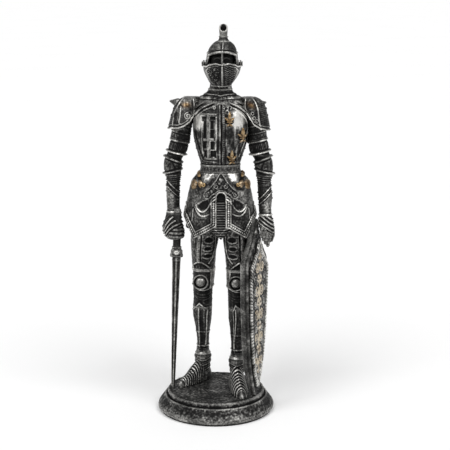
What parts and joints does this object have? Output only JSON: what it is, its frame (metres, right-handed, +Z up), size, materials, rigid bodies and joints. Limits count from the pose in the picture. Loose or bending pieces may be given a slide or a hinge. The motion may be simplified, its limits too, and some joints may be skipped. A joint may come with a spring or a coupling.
{
  "type": "miniature knight statuette",
  "caption": "Standing knight in full plate armour on a round base, sword and tall shield grounded, visor hinged and sword loose in the fist.",
  "frame": {"origin": "centre of the base's underside", "axes": "+Z up the figure, -Y the way the knight faces, +X towards the knight's left hand and shield"},
  "size_m": [0.055, 0.055, 0.18],
  "materials": {
    "pewter": "pewter paint, silver drybrushed on the edges and black washed into the recesses",
    "dark_wash": "black wash, nearly matt",
    "gilt": "antique gold paint, worn",
    "base_paint": "dark grey paint, stippled with silver",
    "pin_metal": "plain steel pin",
    "face_paint": "dark pewter paint",
    "felt": "short felt"
  },
  "bodies": {
    "figure": {"felt_pad": "felt", "base_plinth": "base_paint", "ankle_pins": "pin_metal", "right_sabaton": "pewter", "left_sabaton": "pewter", "right_greave": "pewter", "left_greave": "pewter", "right_poleyn": "pewter", "left_poleyn": "pewter", "knee_bosses": "pewter", "right_cuisse": "pewter", "left_cuisse": "pewter", "hip_core": "dark_wash", "right_tasset": "pewter", "left_tasset": "pewter", "culet": "pewter", "mail_fringe": "dark_wash", "girdle_chevron": "pewter", "hip_ornaments": "gilt", "waist_belt": "pewter", "waist_pin": "pin_metal", "torso_core": "dark_wash", "breastplate": "pewter", "backplate": "pewter", "breast_bars": "pewter", "breast_ornaments": "gilt", "shoulder_pins": "pin_metal", "gorget": "pewter", "neck_pin": "pin_metal", "bevor": "pewter", "head_core": "face_paint", "helmet_skull": "pewter", "plume_holder": "pewter", "visor_pivots": "pin_metal", "right_pauldron": "pewter", "left_pauldron": "pewter", "pauldron_spikes": "pewter", "right_rerebrace": "pewter", "left_rerebrace": "pewter", "right_couter": "pewter", "left_couter": "pewter", "right_vambrace": "pewter", "left_vambrace": "pewter", "right_gauntlet": "pewter", "left_gauntlet": "pewter", "shield_board": "pewter", "shield_panel": "pewter", "shield_border": "pewter", "shield_ornament": "gilt"},
    "visor": {"visor": "pewter"},
    "sword": {"sword_blade": "pewter", "crossguard": "pewter", "sword_grip": "dark_wash", "sword_pommel": "pewter"}
  },
  "joints": [
    {"name": "visor_hinge", "type": "hinge", "parent": "figure", "child": "visor", "pos_m": [0.003, 0.0035, 0.1622], "axis": [-1, 0, 0], "range_deg": [0, 45]},
    {"name": "sword_lift", "type": "slide", "parent": "figure", "child": "sword", "axis": [0.034, -0.007, 0.9994], "range_m": [0, 0.0032]}
  ]
}
